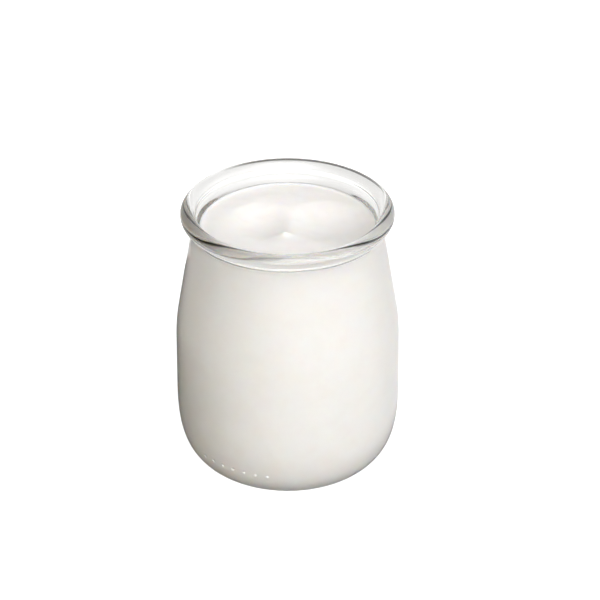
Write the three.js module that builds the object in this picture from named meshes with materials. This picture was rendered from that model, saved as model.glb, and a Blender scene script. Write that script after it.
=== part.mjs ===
// A small glass pot filled with set sour milk.
//
// The pot is one piece of pressed glass, turned about the z axis: a flat ring to stand on round a
// shallow push-up, a wide rounded heel, a nearly straight belly, a soft shoulder, a wall that leans
// in and thickens to the neck, and a thick round bead for a rim. The sour milk fills it to a little
// below the rim. Its top was disturbed after it set: two shallow dishes lie side by side, and a
// small peak stands where they meet.
import * as THREE from "three";

// Driving dimensions in millimetres. The pot stands on z = 0 and its axis is the z axis.
const potHeight = 88.9;
const beadRadius = 2.35;
const beadCentreRadius = 30.45;
const footRadius = 18.8;
const footRingWidth = 2.5;
const pushUpHeight = 1.8;
const wallRadius = 35.35;
const heelHeight = 23.9;
const heelFullness = { across: 0.77, down: 0.74 }; // how far the heel holds its first directions
const shoulder = { radius: 35.05, height: 48.4, rounding: 5 };
const neck = { radius: 29.9, height: 78.5, rounding: 3.5 };
const glassThickness = 2.9;
const neckThickness = 3.6;
const floorHeight = 4.5; // the inside floor where the heel starts
const floorDome = 0.8; // how much its middle stands higher
const mouthBends = { low: 81.6, high: 84.2 }; // heights where the inside turns out, then up
const milkLevel = 81.7;
const milkGap = 0.3; // left free between the milk and the glass
const meniscus = { rise: 0.5, reach: 0.8 };

// How finely the turned faces are divided.
const segments = 64;
const heelSteps = 9;
const beadSteps = 8;
const curveSteps = 3;
const milkRings = 18;

// Points on a quadratic curve from one point to another, leaving out the first.
function bend(from, corner, to, steps = curveSteps) {
  return new THREE.QuadraticBezierCurve(from, corner, to).getPoints(steps).slice(1);
}

// A point on the way from a corner towards another point.
function towards(corner, other, distance) {
  return other.clone().sub(corner).setLength(distance).add(corner);
}

// The body from its floor up to the neck, set in from the outside by one distance at the wall and
// another at the neck.
function bodyOutline(inset, floor, neckInset = inset) {
  const heelStart = new THREE.Vector2(footRadius, floor);
  const heelEnd = new THREE.Vector2(wallRadius - inset, heelHeight);
  const across = heelFullness.across * (heelEnd.x - heelStart.x);
  const down = heelFullness.down * (heelEnd.y - heelStart.y);
  const heel = new THREE.CubicBezierCurve(
    heelStart,
    new THREE.Vector2(heelStart.x + across, heelStart.y),
    new THREE.Vector2(heelEnd.x, heelEnd.y - down),
    heelEnd,
  );
  const corner = new THREE.Vector2(shoulder.radius - inset, shoulder.height);
  const top = new THREE.Vector2(neck.radius - neckInset, neck.height);
  const above = new THREE.Vector2(top.x, top.y + neck.rounding);
  const turnIn = towards(corner, heelEnd, shoulder.rounding);
  const leanIn = towards(corner, top, shoulder.rounding);
  const turnUp = towards(top, corner, neck.rounding);
  const upright = towards(top, above, neck.rounding / 2);
  return [
    ...heel.getPoints(heelSteps),
    turnIn,
    ...bend(turnIn, corner, leanIn),
    turnUp,
    ...bend(turnUp, top, upright),
  ];
}

// The bead, from where the neck meets it, over the top, to its inner side.
function beadOutline() {
  const from = -Math.PI / 3;
  const to = Math.PI;
  const middle = new THREE.Vector2(beadCentreRadius, potHeight - beadRadius);
  const outline = [];
  for (let i = 0; i <= beadSteps; i++) {
    const angle = from + ((to - from) * i) / beadSteps;
    const reach = new THREE.Vector2(Math.cos(angle), Math.sin(angle));
    outline.push(reach.multiplyScalar(beadRadius).add(middle));
  }
  return outline;
}

// The neck turns out under the bead in a hollow curve that meets it along its own direction.
function underBead(from, to) {
  const drop = (to.x - from.x) / Math.tan(Math.PI / 3);
  return bend(from, new THREE.Vector2(from.x, to.y - drop), to).slice(0, -1);
}

// Inside, the mouth narrows from the bead to the thicker neck in a gentle S.
function mouthOutline(from, to) {
  const high = new THREE.Vector2(from.x, mouthBends.high);
  const low = new THREE.Vector2(to.x, mouthBends.low);
  const middle = low.clone().add(high).divideScalar(2);
  return [...bend(from, high, middle), ...bend(middle, low, to)].slice(0, -1);
}

// The domed floor from its middle out to where the heel starts, without that last point.
function floorOutline(height) {
  const middle = new THREE.Vector2(0, height + floorDome);
  const turn = new THREE.Vector2(footRadius / 2, height + floorDome);
  const rim = new THREE.Vector2(footRadius, height);
  return [middle, ...bend(middle, turn, rim)].slice(0, -1);
}

// Turns an outline of radius and height about the z axis.
function turned(outline) {
  return new THREE.LatheGeometry(outline, segments).rotateX(Math.PI / 2);
}

function potGeometry() {
  const ringStart = footRadius - footRingWidth;
  const underside = new THREE.QuadraticBezierCurve(
    new THREE.Vector2(0, pushUpHeight),
    new THREE.Vector2(0.6 * ringStart, pushUpHeight),
    new THREE.Vector2(ringStart, 0),
  );
  const outside = bodyOutline(0, 0);
  const bead = beadOutline();
  const inside = [
    ...floorOutline(floorHeight),
    ...bodyOutline(glassThickness, floorHeight, neckThickness),
  ];
  return turned([
    ...underside.getPoints(curveSteps),
    ...outside,
    ...underBead(outside.at(-1), bead[0]),
    ...bead,
    ...mouthOutline(bead.at(-1), inside.at(-1)),
    ...inside.reverse(),
  ]);
}

// The milk's top: where each dish lies, its half sizes, its turn and its depth, then the peak.
const dishes = [
  { x: -7.5, y: 2.6, across: 9.4, along: 10.6, turn: 0.05, depth: 1.7 },
  { x: 13.4, y: 2.2, across: 14, along: 11.6, turn: -0.15, depth: 1.9 },
];
const dishEdge = 0.9; // over this height a dish's edge is rounded
const peak = { x: -0.9, y: -5.6, height: 1.25, across: 1.9, along: 1.5 };
const frontSwell = { y: -14, height: 0.5, reach: 6 };

// The smaller of two heights, with the edge between them rounded over a height.
function softLower(a, b, rounding) {
  const share = THREE.MathUtils.clamp(0.5 + (b - a) / (2 * rounding), 0, 1);
  return b + (a - b) * share - rounding * share * (1 - share);
}

// How far a dish's floor stands above the milk's level, without end outside its edge.
function dishFloor(dish, x, y) {
  const dx = x - dish.x;
  const dy = y - dish.y;
  const across = (dx * Math.cos(dish.turn) + dy * Math.sin(dish.turn)) / dish.across;
  const along = (dy * Math.cos(dish.turn) - dx * Math.sin(dish.turn)) / dish.along;
  return dish.depth * (across ** 2 + along ** 2 - 1);
}

// How far the milk's top stands above its level, away from the glass.
function relief(x, y) {
  let height = frontSwell.height * Math.exp(-(((y - frontSwell.y) / frontSwell.reach) ** 2));
  for (const dish of dishes) height = softLower(height, dishFloor(dish, x, y), dishEdge);
  const away = Math.hypot((x - peak.x) / peak.across, (y - peak.y) / peak.along);
  return height + peak.height * Math.exp(-(away ** 1.5));
}

function milkGeometry() {
  const outline = [
    ...floorOutline(floorHeight + milkGap),
    ...bodyOutline(glassThickness + milkGap, floorHeight + milkGap, neckThickness + milkGap),
  ];
  const topStart = outline.length;
  const edge = outline.at(-1).x;
  for (let ring = milkRings; ring >= 0; ring--)
    outline.push(new THREE.Vector2((edge * ring) / milkRings, milkLevel));
  const geometry = turned(outline);
  const places = geometry.getAttribute("position");
  for (let i = 0; i < places.count; i++) {
    if (i % outline.length < topStart) continue;
    const x = places.getX(i);
    const y = places.getY(i);
    const fromGlass = edge - Math.hypot(x, y);
    const settled = THREE.MathUtils.smoothstep(fromGlass, 0, 4);
    const climb = meniscus.rise * Math.exp(-fromGlass / meniscus.reach);
    places.setZ(i, milkLevel + relief(x, y) * settled + climb);
  }
  return geometry;
}

const glass = new THREE.MeshStandardMaterial({
  color: 0xe9eeea,
  roughness: 0.03,
  metalness: 0,
  transparent: true,
  opacity: 0.35,
});
const milk = new THREE.MeshStandardMaterial({ color: 0xf6f4ee, roughness: 0.35, metalness: 0 });

function part(name, geometry, material) {
  const mesh = new THREE.Mesh(geometry, material);
  mesh.name = name;
  return mesh;
}

const pot = new THREE.Group();
pot.name = "pot_of_sour_milk";
pot.add(part("glass_pot", potGeometry(), glass), part("sour_milk", milkGeometry(), milk));

export default pot;
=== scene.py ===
import math

import bpy
import numpy as np
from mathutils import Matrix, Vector, noise


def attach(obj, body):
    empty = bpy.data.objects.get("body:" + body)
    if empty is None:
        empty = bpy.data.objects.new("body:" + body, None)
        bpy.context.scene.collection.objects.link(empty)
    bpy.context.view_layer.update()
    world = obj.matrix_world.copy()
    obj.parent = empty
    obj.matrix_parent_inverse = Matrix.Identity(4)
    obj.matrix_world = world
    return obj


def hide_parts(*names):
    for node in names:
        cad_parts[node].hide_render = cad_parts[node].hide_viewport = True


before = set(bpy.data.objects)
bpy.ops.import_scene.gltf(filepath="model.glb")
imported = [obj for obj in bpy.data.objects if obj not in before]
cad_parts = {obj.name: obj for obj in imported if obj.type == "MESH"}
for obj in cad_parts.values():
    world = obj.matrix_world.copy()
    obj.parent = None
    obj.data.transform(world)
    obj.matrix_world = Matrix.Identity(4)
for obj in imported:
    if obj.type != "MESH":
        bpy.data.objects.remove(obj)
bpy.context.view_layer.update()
scene = bpy.context.scene

# The view. A long lens looks down at the pot at 32 degrees from 0.7 m, so that the mouth opens to
# a flat ellipse and the two sides stay nearly upright.
pot_middle = Vector((0, 0, 0.0446))
view_distance = 0.700
look_down = math.radians(32.03)
focal_length_px, picture_width_px = 2220.4, 600
film_width = 36  # millimetres
aim_right, aim_up = 0.00386, 0.00894

up_in_view = Vector((0, math.sin(look_down), math.cos(look_down)))
eye = pot_middle + view_distance * Vector((0, -math.cos(look_down), math.sin(look_down)))
aim = pot_middle + Vector((aim_right, 0, 0)) + aim_up * up_in_view
camera = bpy.data.objects.new("camera", bpy.data.cameras.new("camera"))
camera.data.sensor_width = film_width
camera.data.lens = focal_length_px * film_width / picture_width_px
camera.location = eye
camera.rotation_euler = (aim - eye).to_track_quat("-Z", "Y").to_euler()
scene.collection.objects.link(camera)
scene.camera = camera

# The glass pot. It is one piece of clear soda-lime glass, pressed in a mould and fire-polished:
# a ring to stand on with a stippled edge round a shallow push-up, a rounded heel with a run of
# raised dots, a belly, a shoulder, a leaning neck and a thick bead for a rim.
pot_height = 0.0889
foot_radius = 0.0188
foot_ring_width = 0.0025
push_up_height = 0.0018
wall_radius = 0.03535
heel_height = 0.0239
heel_across, heel_down = 0.77, 0.74
shoulder_radius, shoulder_height, shoulder_rounding = 0.03505, 0.0484, 0.005
neck_radius, neck_height, neck_rounding = 0.0299, 0.0785, 0.0035
bead_radius = 0.00235
bead_centre_radius = 0.03045
bead_undercut = 60  # degrees below level at which the bead meets the hollow under it
glass_thickness, neck_thickness = 0.0029, 0.0036
floor_height, floor_dome = 0.0045, 0.0008
mouth_low_bend, mouth_high_bend = 0.0816, 0.0842
stipple_rise = 0.00012
dot_circle_radius, dot_height = 0.03390, 0.0115
heel_slope_at_dots = 0.22
# Painted highlight on the dots' tops: where it starts, its soft edge, how pale and how dull.
painted_glint_from, painted_glint_edge = 0.03187, 0.00005
painted_glint_cover, painted_glint_roughness = 0.45, 0.5
mould_wave = 0.0143
greyness = 17.0


def bend(start, corner, end, steps):
    """Points on a quadratic curve, leaving out its first."""
    start, corner, end = map(np.array, (start, corner, end))
    share = np.linspace(0, 1, steps + 1)[1:, None]
    points = (1 - share) ** 2 * start + 2 * share * (1 - share) * corner + share**2 * end
    return [tuple(point) for point in points]


def towards(corner, other, distance):
    """The point at a distance from a corner, on the way to another point."""
    corner, other = np.array(corner), np.array(other)
    return tuple(corner + (other - corner) * distance / np.linalg.norm(other - corner))


def body_outline(inset, neck_inset, floor, steps=6):
    """Radius and height of the body from its floor up to the neck, set in from the outside."""
    wall = wall_radius - inset
    outward = (foot_radius + heel_across * (wall - foot_radius), floor)
    below = (wall, heel_height - heel_down * (heel_height - floor))
    share = np.linspace(0, 1, 7 * steps + 1)[:, None]
    heel = (
        (1 - share) ** 3 * np.array((foot_radius, floor))
        + 3 * share * (1 - share) ** 2 * np.array(outward)
        + 3 * share**2 * (1 - share) * np.array(below)
        + share**3 * np.array((wall, heel_height))
    )
    corner = (shoulder_radius - inset, shoulder_height)
    top = (neck_radius - neck_inset, neck_height)
    turn_in = towards(corner, (wall, heel_height), shoulder_rounding)
    lean_in = towards(corner, top, shoulder_rounding)
    turn_up = towards(top, corner, neck_rounding)
    upright = (top[0], top[1] + neck_rounding / 2)
    return [
        *(tuple(point) for point in heel),
        turn_in,
        *bend(turn_in, corner, lean_in, 3 * steps),
        turn_up,
        *bend(turn_up, top, upright, 2 * steps),
    ]


def floor_outline(height, steps=6):
    """The domed floor from its middle out to where the heel starts, without that last point."""
    middle = (0, height + floor_dome)
    return [middle, *bend(middle, (foot_radius / 2, middle[1]), (foot_radius, height), steps)[:-1]]


def mouth_outline(inset, steps=10):
    """The S in which the inside widens from the neck up to the bead, leaving out its first point."""
    throat = (neck_radius - neck_thickness + inset, neck_height + neck_rounding / 2)
    lip = (bead_centre_radius - bead_radius + inset, pot_height - bead_radius)
    low, high = (throat[0], mouth_low_bend), (lip[0], mouth_high_bend)
    middle = ((low[0] + high[0]) / 2, (low[1] + high[1]) / 2)
    return bend(throat, low, middle, steps) + bend(middle, high, lip, steps)


def pot_outline():
    """The whole outline, from the middle of the inside floor to the middle of the underside."""
    inside = floor_outline(floor_height) + body_outline(glass_thickness, neck_thickness, floor_height)
    bead_height = pot_height - bead_radius
    angles = np.radians(np.linspace(180, -bead_undercut, 49))
    bead = [
        (bead_centre_radius + bead_radius * math.cos(a), bead_height + bead_radius * math.sin(a))
        for a in angles
    ]
    outside = body_outline(0, 0, stipple_rise)[::-1]
    neck_top = outside[0]
    drop = (bead[-1][0] - neck_top[0]) / math.tan(math.radians(bead_undercut))
    hollow = bend(bead[-1], (neck_top[0], bead[-1][1] - drop), neck_top, 10)
    ring_start = (foot_radius - foot_ring_width, stipple_rise)
    underside = bend(ring_start, (0.6 * ring_start[0], push_up_height), (0, push_up_height), 8)
    return inside + mouth_outline(0)[:-1] + bead + hollow[:-1] + outside + [ring_start] + underside


def add_node(tree, kind, links=None, **settings):
    """Adds a node to a tree. A link is another node's output, or a plain value for the socket."""
    made = tree.nodes.new(kind)
    for name, value in settings.items():
        setattr(made, name, value)
    for socket, value in (links or {}).items():
        if isinstance(value, bpy.types.NodeSocket):
            tree.links.new(value, made.inputs[socket])
        else:
            made.inputs[socket].default_value = value
    return made


def colour(code):
    """An sRGB hex colour as linear red, green, blue and alpha."""
    parts = [int(code[i : i + 2], 16) / 255 for i in (1, 3, 5)]
    return [c / 12.92 if c <= 0.04045 else ((c + 0.055) / 1.055) ** 2.4 for c in parts] + [1]


def new_material(name):
    made = bpy.data.materials.new(name)
    made.use_nodes = True
    made.node_tree.nodes.clear()
    return made, made.node_tree


# Pressed soda-lime glass, fire-polished: the eye gets a clear body with a faint grey of its own, so
# that long ways through the bead are darker, and reflections that waver with the mould's slight
# waves. Painted highlight: the dots' tops, beyond a cone that touches the heel there, are pale and dull.
pressed_glass, nodes = new_material("pressed_soda_lime_glass")
place = add_node(nodes, "ShaderNodeTexCoord").outputs["Object"]
waves = add_node(
    nodes,
    "ShaderNodeTexNoise",
    {"Vector": place, "Scale": 1 / mould_wave, "Detail": 1.0, "Roughness": 0.4},
)
surface = add_node(
    nodes, "ShaderNodeBump", {"Height": waves.outputs["Fac"], "Strength": 0.35, "Distance": 0.0002}
)
spot = add_node(nodes, "ShaderNodeSeparateXYZ", {"Vector": place}).outputs
level_spot = add_node(nodes, "ShaderNodeCombineXYZ", {"X": spot["X"], "Y": spot["Y"]}).outputs[0]
reach = add_node(nodes, "ShaderNodeVectorMath", {0: level_spot}, operation="LENGTH").outputs["Value"]
cone = add_node(
    nodes, "ShaderNodeMath", {0: spot["Z"], 1: -heel_slope_at_dots, 2: reach}, operation="MULTIPLY_ADD"
).outputs[0]
# Painted highlight: the dots' tops are made pale and dull to stand for glints of light.
painted_glint = add_node(
    nodes, "ShaderNodeMapRange", {"Value": cone, "From Min": painted_glint_from, "From Max": painted_glint_from + painted_glint_edge}
).outputs["Result"]
clear = add_node(
    nodes, "ShaderNodeMath", {0: painted_glint, 1: -painted_glint_cover, 2: 1.0}, operation="MULTIPLY_ADD"
).outputs[0]
dullness = add_node(
    nodes, "ShaderNodeMath", {0: painted_glint, 1: painted_glint_roughness}, operation="MULTIPLY"
).outputs[0]
glass = add_node(
    nodes,
    "ShaderNodeBsdfPrincipled",
    {
        "Base Color": colour("#FEFFFE"),
        "Roughness": dullness,
        "IOR": 1.52,
        "Transmission Weight": clear,
        "Normal": surface.outputs["Normal"],
    },
)
grey = add_node(nodes, "ShaderNodeVolumeAbsorption", {"Color": colour("#303030"), "Density": greyness})
add_node(
    nodes,
    "ShaderNodeOutputMaterial",
    {"Surface": glass.outputs["BSDF"], "Volume": grey.outputs["Volume"]},
)

# The turned glass with its small raised marks. The outline is swept round a tiny hub circle, balls
# sunk in the heel and round the foot are joined to it, and edges sharper than 30 degrees stay crisp.
turned_glass = bpy.data.node_groups.new("turned_glass", "GeometryNodeTree")
wanted = {
    "Outline": ("NodeSocketGeometry", None),
    "Steps round": ("NodeSocketInt", 256),
    "Dots": ("NodeSocketInt", 7),
    "Dot ball radius": ("NodeSocketFloat", 0.00075),
    "Dot circle radius": ("NodeSocketFloat", dot_circle_radius),
    "Dot height": ("NodeSocketFloat", dot_height),
    "First dot": ("NodeSocketFloat", math.radians(-139.4)),
    "Dot pitch": ("NodeSocketFloat", math.radians(6.4)),
    "Stipples": ("NodeSocketInt", 76),
    "Stipple ball radius": ("NodeSocketFloat", 0.00070),
    "Stipple circle radius": ("NodeSocketFloat", foot_radius - foot_ring_width / 2),
    "Glass": ("NodeSocketMaterial", None),
}
for name, (kind, _) in wanted.items():
    turned_glass.interface.new_socket(name, in_out="INPUT", socket_type=kind)
turned_glass.interface.new_socket("Pot", in_out="OUTPUT", socket_type="NodeSocketGeometry")
given = add_node(turned_glass, "NodeGroupInput").outputs
hub = 0.001
crisp_from = math.radians(30)
laid = add_node(
    turned_glass,
    "GeometryNodeTransform",
    {"Geometry": given["Outline"], "Translation": (-hub, 0, 0), "Rotation": (math.pi, 0, 0)},
)
profile = add_node(turned_glass, "GeometryNodeMeshToCurve", {"Mesh": laid.outputs["Geometry"]})
circle = add_node(
    turned_glass,
    "GeometryNodeCurvePrimitiveCircle",
    {"Resolution": given["Steps round"], "Radius": hub},
)
swept = add_node(
    turned_glass,
    "GeometryNodeCurveToMesh",
    {"Curve": circle.outputs["Curve"], "Profile Curve": profile.outputs["Curve"]},
)
closed = add_node(
    turned_glass, "GeometryNodeMergeByDistance", {"Geometry": swept.outputs["Mesh"], "Distance": 1e-6}
)


def balls_round(count, ball_radius, circle_radius, height, first, pitch):
    """Balls at even steps on a level circle."""
    index = add_node(turned_glass, "GeometryNodeInputIndex").outputs["Index"]
    angle = add_node(
        turned_glass, "ShaderNodeMath", {0: index, 1: pitch, 2: first}, operation="MULTIPLY_ADD"
    ).outputs[0]
    across = add_node(turned_glass, "ShaderNodeMath", {0: angle}, operation="COSINE").outputs[0]
    along = add_node(turned_glass, "ShaderNodeMath", {0: angle}, operation="SINE").outputs[0]
    x = add_node(turned_glass, "ShaderNodeMath", {0: across, 1: circle_radius}, operation="MULTIPLY")
    y = add_node(turned_glass, "ShaderNodeMath", {0: along, 1: circle_radius}, operation="MULTIPLY")
    spot = add_node(
        turned_glass, "ShaderNodeCombineXYZ", {"X": x.outputs[0], "Y": y.outputs[0], "Z": height}
    )
    spots = add_node(turned_glass, "GeometryNodePoints", {"Count": count, "Position": spot.outputs[0]})
    ball = add_node(
        turned_glass, "GeometryNodeMeshUVSphere", {"Segments": 20, "Rings": 12, "Radius": ball_radius}
    )
    placed = add_node(
        turned_glass,
        "GeometryNodeInstanceOnPoints",
        {"Points": spots.outputs["Points"], "Instance": ball.outputs["Mesh"]},
    )
    return add_node(
        turned_glass, "GeometryNodeRealizeInstances", {"Geometry": placed.outputs["Instances"]}
    ).outputs["Geometry"]


dots = balls_round(
    given["Dots"],
    given["Dot ball radius"],
    given["Dot circle radius"],
    given["Dot height"],
    given["First dot"],
    given["Dot pitch"],
)
full_turn = add_node(
    turned_glass, "ShaderNodeMath", {0: 2 * math.pi, 1: given["Stipples"]}, operation="DIVIDE"
)
stipples = balls_round(
    given["Stipples"],
    given["Stipple ball radius"],
    given["Stipple circle radius"],
    given["Stipple ball radius"],
    0.0,
    full_turn.outputs[0],
)
joined = add_node(turned_glass, "GeometryNodeMeshBoolean", operation="UNION", solver="MANIFOLD")
for part in (stipples, dots, closed.outputs["Geometry"]):
    turned_glass.links.new(part, joined.inputs["Mesh 2"])
smooth = add_node(turned_glass, "GeometryNodeSetShadeSmooth", {"Geometry": joined.outputs["Mesh"]})
fold = add_node(turned_glass, "GeometryNodeInputMeshEdgeAngle")
sharp = add_node(
    turned_glass,
    "FunctionNodeCompare",
    {0: fold.outputs["Unsigned Angle"], 1: crisp_from},
    operation="GREATER_THAN",
)
creased = add_node(
    turned_glass,
    "GeometryNodeSetShadeSmooth",
    {"Geometry": smooth.outputs["Geometry"], "Selection": sharp.outputs[0], "Shade Smooth": False},
    domain="EDGE",
)
whole = add_node(
    turned_glass, "GeometryNodeRealizeInstances", {"Geometry": creased.outputs["Geometry"]}
)
finished = add_node(
    turned_glass,
    "GeometryNodeSetMaterial",
    {"Geometry": whole.outputs["Geometry"], "Material": given["Glass"]},
)
add_node(turned_glass, "NodeGroupOutput", {"Pot": finished.outputs["Geometry"]})


def settle(piece):
    """Replaces a piece's mesh by what its modifiers make of it, and removes them."""
    evaluated = piece.evaluated_get(bpy.context.evaluated_depsgraph_get())
    made = bpy.data.meshes.new_from_object(evaluated)
    piece.modifiers.clear()
    piece.data = made


outline = [(radius, height, 0) for radius, height in pot_outline()]
outline_mesh = bpy.data.meshes.new("pot_outline")
outline_mesh.from_pydata(outline, [(i, i + 1) for i in range(len(outline) - 1)], [])
glass_pot = bpy.data.objects.new("pressed_glass_pot", outline_mesh)
scene.collection.objects.link(glass_pot)
turning = glass_pot.modifiers.new("turned glass", "NODES")
turning.node_group = turned_glass
for socket in turned_glass.interface.items_tree:
    if socket.in_out == "INPUT" and wanted[socket.name][1] is not None:
        turning[socket.identifier] = wanted[socket.name][1]
    if socket.name == "Glass":
        turning[socket.identifier] = pressed_glass
settle(glass_pot)
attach(glass_pot, "root")
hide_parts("glass_pot")

# The sour milk. It was poured warm and set in the pot, so it lies against the glass all over, with
# no air between. Its top was disturbed: two shallow dishes with a soft ridge between them, a small
# peak where they meet, and a skin that climbs the glass a little all round.
milk_level = 0.0817
milk_into_glass = 0.00015
meniscus_rise, meniscus_reach = 0.0007, 0.0008
dishes = [
    {"x": -0.0075, "y": 0.0026, "across": 0.0094, "along": 0.0106, "turn": 0.05, "depth": 0.0017},
    {"x": 0.0134, "y": 0.0022, "across": 0.014, "along": 0.0116, "turn": -0.15, "depth": 0.0019},
]
dish_edge = 0.0009
peak = {"x": -0.0009, "y": -0.0056, "height": 0.00125, "across": 0.0019, "along": 0.0015}
front_swell = {"y": -0.014, "height": 0.0005, "reach": 0.006}
settled_reach = 0.004
waver_height, waver_size, waver_seed = 0.00012, 1 / 260, 3.7
grain_size, clot_size = 0.000714, 0.00625


def soft_lower(a, b, rounding):
    """The smaller of two heights, with the edge between them rounded over a height."""
    share = np.clip(0.5 + (b - a) / (2 * rounding), 0, 1)
    return b + (a - b) * share - rounding * share * (1 - share)


def milk_relief(x, y):
    """How far the milk's top stands above its level, away from the glass."""
    height = front_swell["height"] * np.exp(-(((y - front_swell["y"]) / front_swell["reach"]) ** 2))
    for dish in dishes:
        dx, dy = x - dish["x"], y - dish["y"]
        turn = dish["turn"]
        across = (dx * math.cos(turn) + dy * math.sin(turn)) / dish["across"]
        along = (dy * math.cos(turn) - dx * math.sin(turn)) / dish["along"]
        height = soft_lower(height, dish["depth"] * (across**2 + along**2 - 1), dish_edge)
    away = np.hypot((x - peak["x"]) / peak["across"], (y - peak["y"]) / peak["along"])
    return height + peak["height"] * np.exp(-(away**1.5))


# Set sour milk: a white, faintly creamy curd that light sinks into and comes back from, with a
# wet sheen that is broken by the fine grain of the curd, drawn a few times its true size to show.
set_milk, nodes = new_material("set_sour_milk")
place = add_node(nodes, "ShaderNodeTexCoord").outputs["Object"]
grain = add_node(nodes, "ShaderNodeTexNoise", {"Vector": place, "Scale": 1 / grain_size, "Detail": 3.0})
clots = add_node(nodes, "ShaderNodeTexNoise", {"Vector": place, "Scale": 1 / clot_size, "Detail": 2.0})
creaminess = add_node(nodes, "ShaderNodeValToRGB", {"Fac": clots.outputs["Fac"]})
creaminess.color_ramp.elements[0].position = 0.35
creaminess.color_ramp.elements[0].color = colour("#F9F7F2")
creaminess.color_ramp.elements[1].position = 0.65
creaminess.color_ramp.elements[1].color = colour("#FBFAF6")
wetness = add_node(
    nodes,
    "ShaderNodeMapRange",
    {"Value": clots.outputs["Fac"], "From Min": 0.3, "From Max": 0.7, "To Min": 0.32, "To Max": 0.48},
)
curd = add_node(
    nodes, "ShaderNodeBump", {"Height": clots.outputs["Fac"], "Strength": 0.3, "Distance": 0.0004}
).outputs["Normal"]
fine = add_node(
    nodes,
    "ShaderNodeBump",
    {"Height": grain.outputs["Fac"], "Strength": 0.25, "Distance": 0.00006, "Normal": curd},
)
milk = add_node(
    nodes,
    "ShaderNodeBsdfPrincipled",
    {
        "Base Color": creaminess.outputs["Color"],
        "Roughness": wetness.outputs["Result"],
        "IOR": 1.35,
        "Subsurface Weight": 0.7,
        "Subsurface Radius": (1.0, 0.8, 0.6),
        "Subsurface Scale": 0.0015,
        "Normal": fine.outputs["Normal"],
    },
)
add_node(nodes, "ShaderNodeOutputMaterial", {"Surface": milk.outputs["BSDF"]})

steps_round = 256
sides = floor_outline(floor_height - milk_into_glass)
sides += body_outline(
    glass_thickness - milk_into_glass, neck_thickness - milk_into_glass, floor_height - milk_into_glass
)
sides += [point for point in mouth_outline(milk_into_glass) if point[1] < milk_level + meniscus_rise]
milk_edge = sides[-1][0]
top_rings = 90
rings = np.array(sides + [(milk_edge * (1 - i / top_rings), milk_level) for i in range(top_rings)])
angles = np.arange(steps_round) * 2 * math.pi / steps_round
x = rings[1:, 0, None] * np.cos(angles)
y = rings[1:, 0, None] * np.sin(angles)
z = np.repeat(rings[1:, 1, None], steps_round, axis=1)
top = slice(len(sides) - 1, None)
from_glass = milk_edge - np.hypot(x[top], y[top])
settled = np.clip(from_glass / settled_reach, 0, 1)
settled = settled**2 * (3 - 2 * settled)
waver = np.vectorize(
    lambda a, b: noise.noise(Vector((a / waver_size, b / waver_size, waver_seed)))
)(x[top], y[top])
z[top] += (milk_relief(x[top], y[top]) + waver_height * waver) * settled
z[top] += meniscus_rise * np.exp(-from_glass / meniscus_reach)
points = [(0, 0, rings[0, 1])]
points += list(zip(x.ravel(), y.ravel(), z.ravel()))
points.append((0, 0, milk_level + float(milk_relief(0.0, 0.0))))
last = len(points) - 1
ring_count = len(x)
faces = []
for step in range(steps_round):
    following = (step + 1) % steps_round
    faces.append((0, 1 + following, 1 + step))
    for ring in range(ring_count - 1):
        low, high = 1 + ring * steps_round, 1 + (ring + 1) * steps_round
        faces.append((low + step, low + following, high + following, high + step))
    rim = 1 + (ring_count - 1) * steps_round
    faces.append((rim + step, rim + following, last))
milk_mesh = bpy.data.meshes.new("set_sour_milk")
milk_mesh.from_pydata(points, [], faces)
milk_mesh.polygons.foreach_set("use_smooth", [True] * len(milk_mesh.polygons))
milk_mesh.materials.append(set_milk)
sour_milk = bpy.data.objects.new("set_sour_milk", milk_mesh)
scene.collection.objects.link(sour_milk)
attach(sour_milk, "root")
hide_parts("sour_milk")

# The studio. A white table stands in a dim room with broad soft patches of light: the main one in
# front and a little to the right, weaker ones on the right and behind, and very little on the left.
table_radius = 0.45
board_tooth = 0.0011
shade_centre, heel_shade_spot = (-0.09, 0.02, 0), (-0.055, -0.035, 0)
seen_strength, under_strength = 0.42, 0.65

# Matt white board: the eye gets a plain white ground, a base lit by a glow painted under the pot, and
# through the glass a painted grey shade behind on the left and close beside the foot, which draws the
# outline of the rim, the left side and the heel. On the left it throws back less light, and creamier,
# as a painted warm shade.
white_paint, nodes = new_material("matt_white_table")
place = add_node(nodes, "ShaderNodeTexCoord").outputs["Object"]
tooth = add_node(nodes, "ShaderNodeTexNoise", {"Vector": place, "Scale": 1 / board_tooth, "Detail": 2.0})
board = add_node(
    nodes, "ShaderNodeBump", {"Height": tooth.outputs["Fac"], "Strength": 0.1, "Distance": 0.0001}
)
ray = add_node(nodes, "ShaderNodeLightPath").outputs
straight = add_node(
    nodes, "ShaderNodeMath", {0: ray["Diffuse Depth"], 1: 0.5}, operation="LESS_THAN"
).outputs[0]
from_axis = add_node(nodes, "ShaderNodeVectorMath", {0: place}, operation="LENGTH").outputs["Value"]
from_shade, from_heel = (
    add_node(nodes, "ShaderNodeVectorMath", {0: place, 1: centre}, operation="DISTANCE").outputs["Value"]
    for centre in (shade_centre, heel_shade_spot)
)
spot = add_node(nodes, "ShaderNodeSeparateXYZ", {"Vector": place}).outputs

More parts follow.
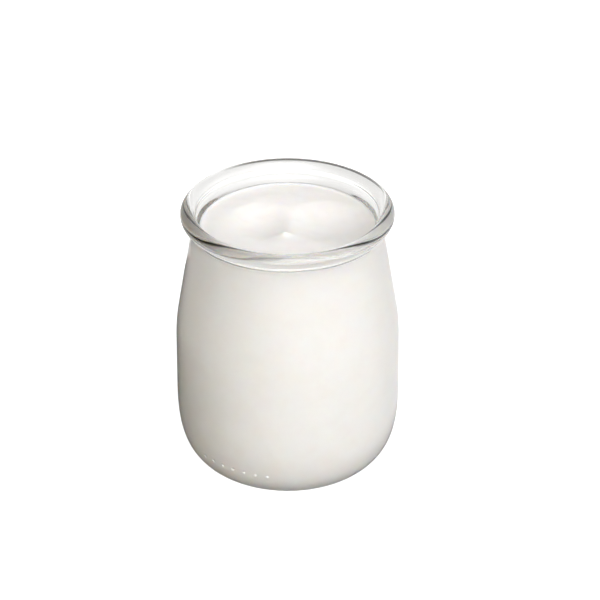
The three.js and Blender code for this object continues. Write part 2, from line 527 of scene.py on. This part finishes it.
# Each zone of the board has a soft edge: none of it at the first distance, all at the second.
zones = [
    add_node(
        nodes,
        "ShaderNodeMapRange",
        {"Value": value, "From Min": none, "From Max": full},
        interpolation_type="SMOOTHSTEP",
    ).outputs["Result"]
    for value, none, full in (
        (from_axis, 0.031, 0.019),
        (from_shade, 0.104, 0.115),
        (spot["Y"], 0, -0.1),
        (spot["X"], -0.05, -0.17),
        (from_axis, 0.03, 0.058),
        (spot["X"], -0.03, -0.08),
        (from_heel, 0.06, 0.02),
    )
]
under_pot, past_shade, to_front, to_left, past_contact_shade, far_left, near_left = zones
in_open = add_node(nodes, "ShaderNodeMath", {0: to_front, 1: to_left}, operation="MAXIMUM").outputs[0]
lit = add_node(nodes, "ShaderNodeMath", {0: past_shade, 1: in_open}, operation="MAXIMUM").outputs[0]
around = add_node(nodes, "ShaderNodeMath", {0: lit, 1: past_contact_shade}, operation="MINIMUM").outputs[0]
bright = add_node(nodes, "ShaderNodeMath", {0: around, 1: under_pot}, operation="MAXIMUM").outputs[0]
# Painted shade: on the far left and beside the heel on the left the board throws back a darker creamy
# tone.
painted_warm_shade = add_node(nodes, "ShaderNodeMath", {0: far_left, 1: near_left}, operation="MAXIMUM").outputs[0]
board_tone = add_node(
    nodes, "ShaderNodeMix", {0: painted_warm_shade, 6: colour("#DEDEDE"), 7: colour("#B4A67C")}, data_type="RGBA"
).outputs[2]
# Painted shade: through the glass the board turns grey behind on the left and in a ring beside the foot.
seen_tone = add_node(
    nodes, "ShaderNodeMix", {0: bright, 6: colour("#606060"), 7: colour("#C4C4C4")}, data_type="RGBA"
).outputs[2]
tone = add_node(nodes, "ShaderNodeMix", {0: straight, 6: board_tone, 7: seen_tone}, data_type="RGBA")
# Painted light: the board glows though it is no lamp, under the pot for light bounced into the milk's
# base, and through the glass outside the painted shade.
seen_glow, under_glow = (
    add_node(nodes, "ShaderNodeMath", {0: zone, 1: strength}, operation="MULTIPLY").outputs[0]
    for zone, strength in ((bright, seen_strength), (under_pot, under_strength))
)
either = add_node(nodes, "ShaderNodeMix", {0: straight, 2: under_glow, 3: seen_glow}).outputs[0]
shining = add_node(nodes, "ShaderNodeMath", {0: ray["Is Camera Ray"], 1: either}, operation="MAXIMUM")
paint = add_node(
    nodes,
    "ShaderNodeBsdfPrincipled",
    {
        "Base Color": tone.outputs[2],
        "Roughness": 0.6,
        "Normal": board.outputs["Normal"],
        "Emission Color": colour("#FFFFFF"),
        "Emission Strength": shining.outputs[0],
    },
)
add_node(nodes, "ShaderNodeOutputMaterial", {"Surface": paint.outputs["BSDF"]})
table_edge = [
    (table_radius * math.cos(angle), table_radius * math.sin(angle), 0)
    for angle in np.arange(96) * 2 * math.pi / 96
]
table_mesh = bpy.data.meshes.new("table")
table_mesh.from_pydata(table_edge, [], [range(96)])
table_mesh.materials.append(white_paint)
table = bpy.data.objects.new("table", table_mesh)
scene.collection.objects.link(table)


def from_pot(round_right, up):
    """The direction from the pot that lies so many degrees right of the camera and above level."""
    azimuth, elevation = math.radians(round_right), math.radians(up)
    level = math.cos(elevation)
    return Vector((math.sin(azimuth) * level, -math.cos(azimuth) * level, math.sin(elevation)))


# The room: a dim warm ground, to which each patch of light is added.
room = bpy.data.worlds.new("room")
scene.world = room
room.use_nodes = True
nodes = room.node_tree
nodes.nodes.clear()
way = add_node(nodes, "ShaderNodeTexCoord").outputs["Generated"]
light = add_node(nodes, "ShaderNodeRGB").outputs[0]
light.default_value = colour("#28241F")
patch_tightness = 5.2


def glow(ground, round_right, up, strength, tint):
    """Adds a broad soft patch of light in one direction to the light there already is."""
    toward = add_node(
        nodes, "ShaderNodeVectorMath", {0: way, 1: from_pot(round_right, up)}, operation="DOT_PRODUCT"
    ).outputs["Value"]
    falloff = add_node(
        nodes,
        "ShaderNodeMath",
        {0: toward, 1: patch_tightness, 2: -patch_tightness},
        operation="MULTIPLY_ADD",
    ).outputs[0]
    patch = add_node(nodes, "ShaderNodeMath", {0: falloff}, operation="EXPONENT").outputs[0]
    tinted = [strength * part for part in colour(tint)[:3]]
    scaled = add_node(nodes, "ShaderNodeVectorMath", {0: tinted, "Scale": patch}, operation="SCALE")
    added = add_node(nodes, "ShaderNodeVectorMath", {0: ground, 1: scaled.outputs[0]}, operation="ADD")
    return added.outputs[0]


light = glow(light, 4, 10, 6.35, "#FEFBFA")
light = glow(light, 70, 0, 1.9, "#FDFAFC")
light = glow(light, 100, 10, 1.1, "#FFFFFF")
light = glow(light, 180, 10, 1.4, "#FFFFFF")
light = glow(light, 180, 50, 0.36, "#FAF9F8")
light = glow(light, -110, 10, 0.2, "#FFDCA6")
backing = add_node(nodes, "ShaderNodeBackground", {"Color": light, "Strength": 1.0})
add_node(nodes, "ShaderNodeOutputWorld", {"Surface": backing.outputs[0]})
scene.view_settings.view_transform = "Standard"
